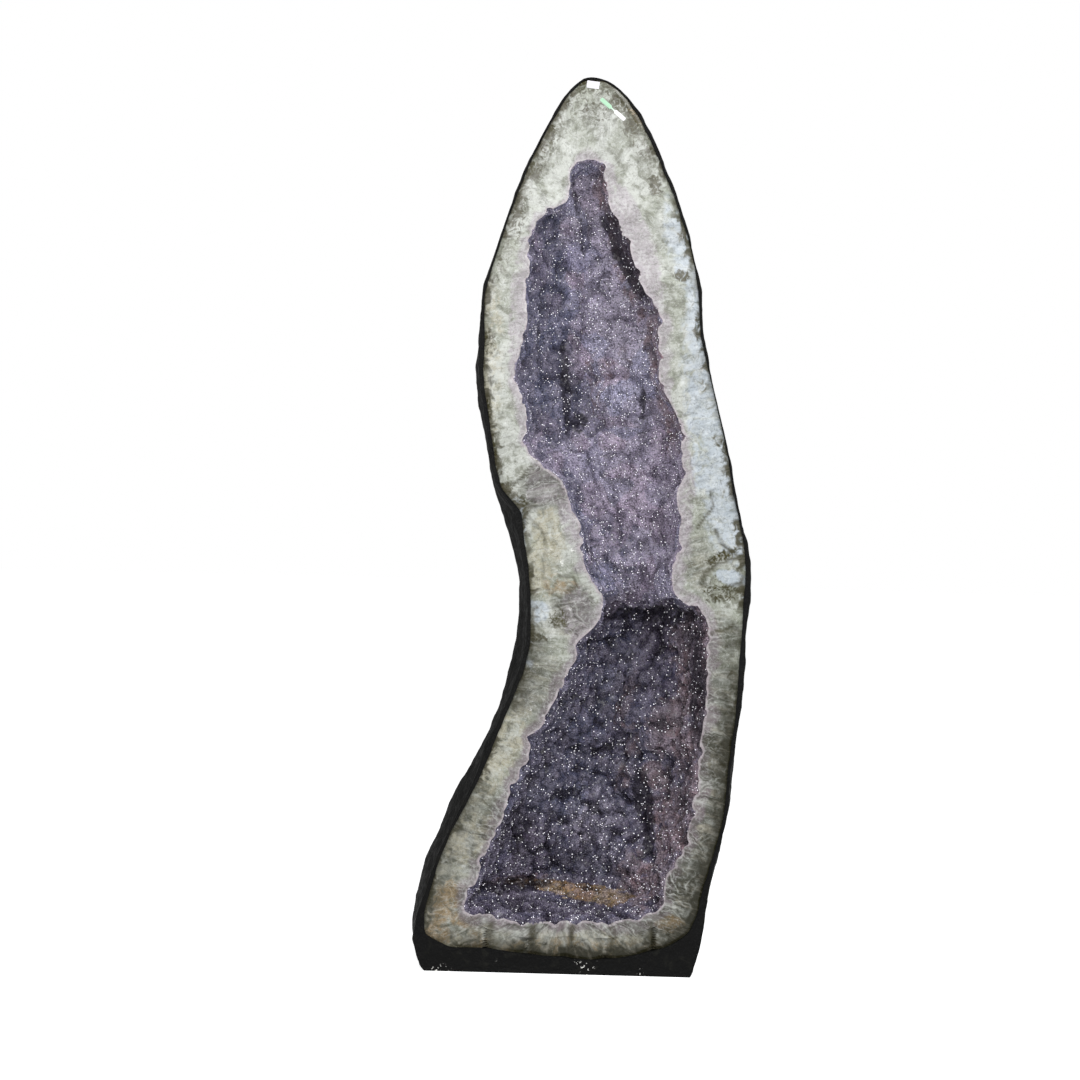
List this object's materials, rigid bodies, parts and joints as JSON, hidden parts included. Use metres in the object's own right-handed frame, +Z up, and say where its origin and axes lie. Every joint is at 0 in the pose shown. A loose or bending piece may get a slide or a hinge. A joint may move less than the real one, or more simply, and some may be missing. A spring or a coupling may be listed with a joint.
{
  "type": "amethyst geode",
  "caption": "Tall curved half geode on a flat foot: black coat, pale quartz band and an open two-chamber hollow lined with amethyst crystals.",
  "frame": {"origin": "middle of the box round the geode, at the height of the foot's underside", "axes": "+Z up, from foot to tip; +Y from the sawn face towards the back of the stone; +X to the right seen from the face"},
  "size_m": [0.5546, 0.3458, 1.5015],
  "materials": {
    "black_coat": "black paint on rough cement, faint sheen",
    "quartz": "sawn and polished milky grey-green quartz",
    "amethyst": "fine glinting crystals, greyish purple",
    "label_paper": "white, matt, blank",
    "tag_film": "pale green to white film, blank"
  },
  "bodies": {
    "root": {"black_coat_and_foot": "black_coat", "quartz_band": "quartz", "amethyst_druse": "amethyst", "price_label": "label_paper", "dumbbell_tag": "tag_film"}
  },
  "joints": []
}
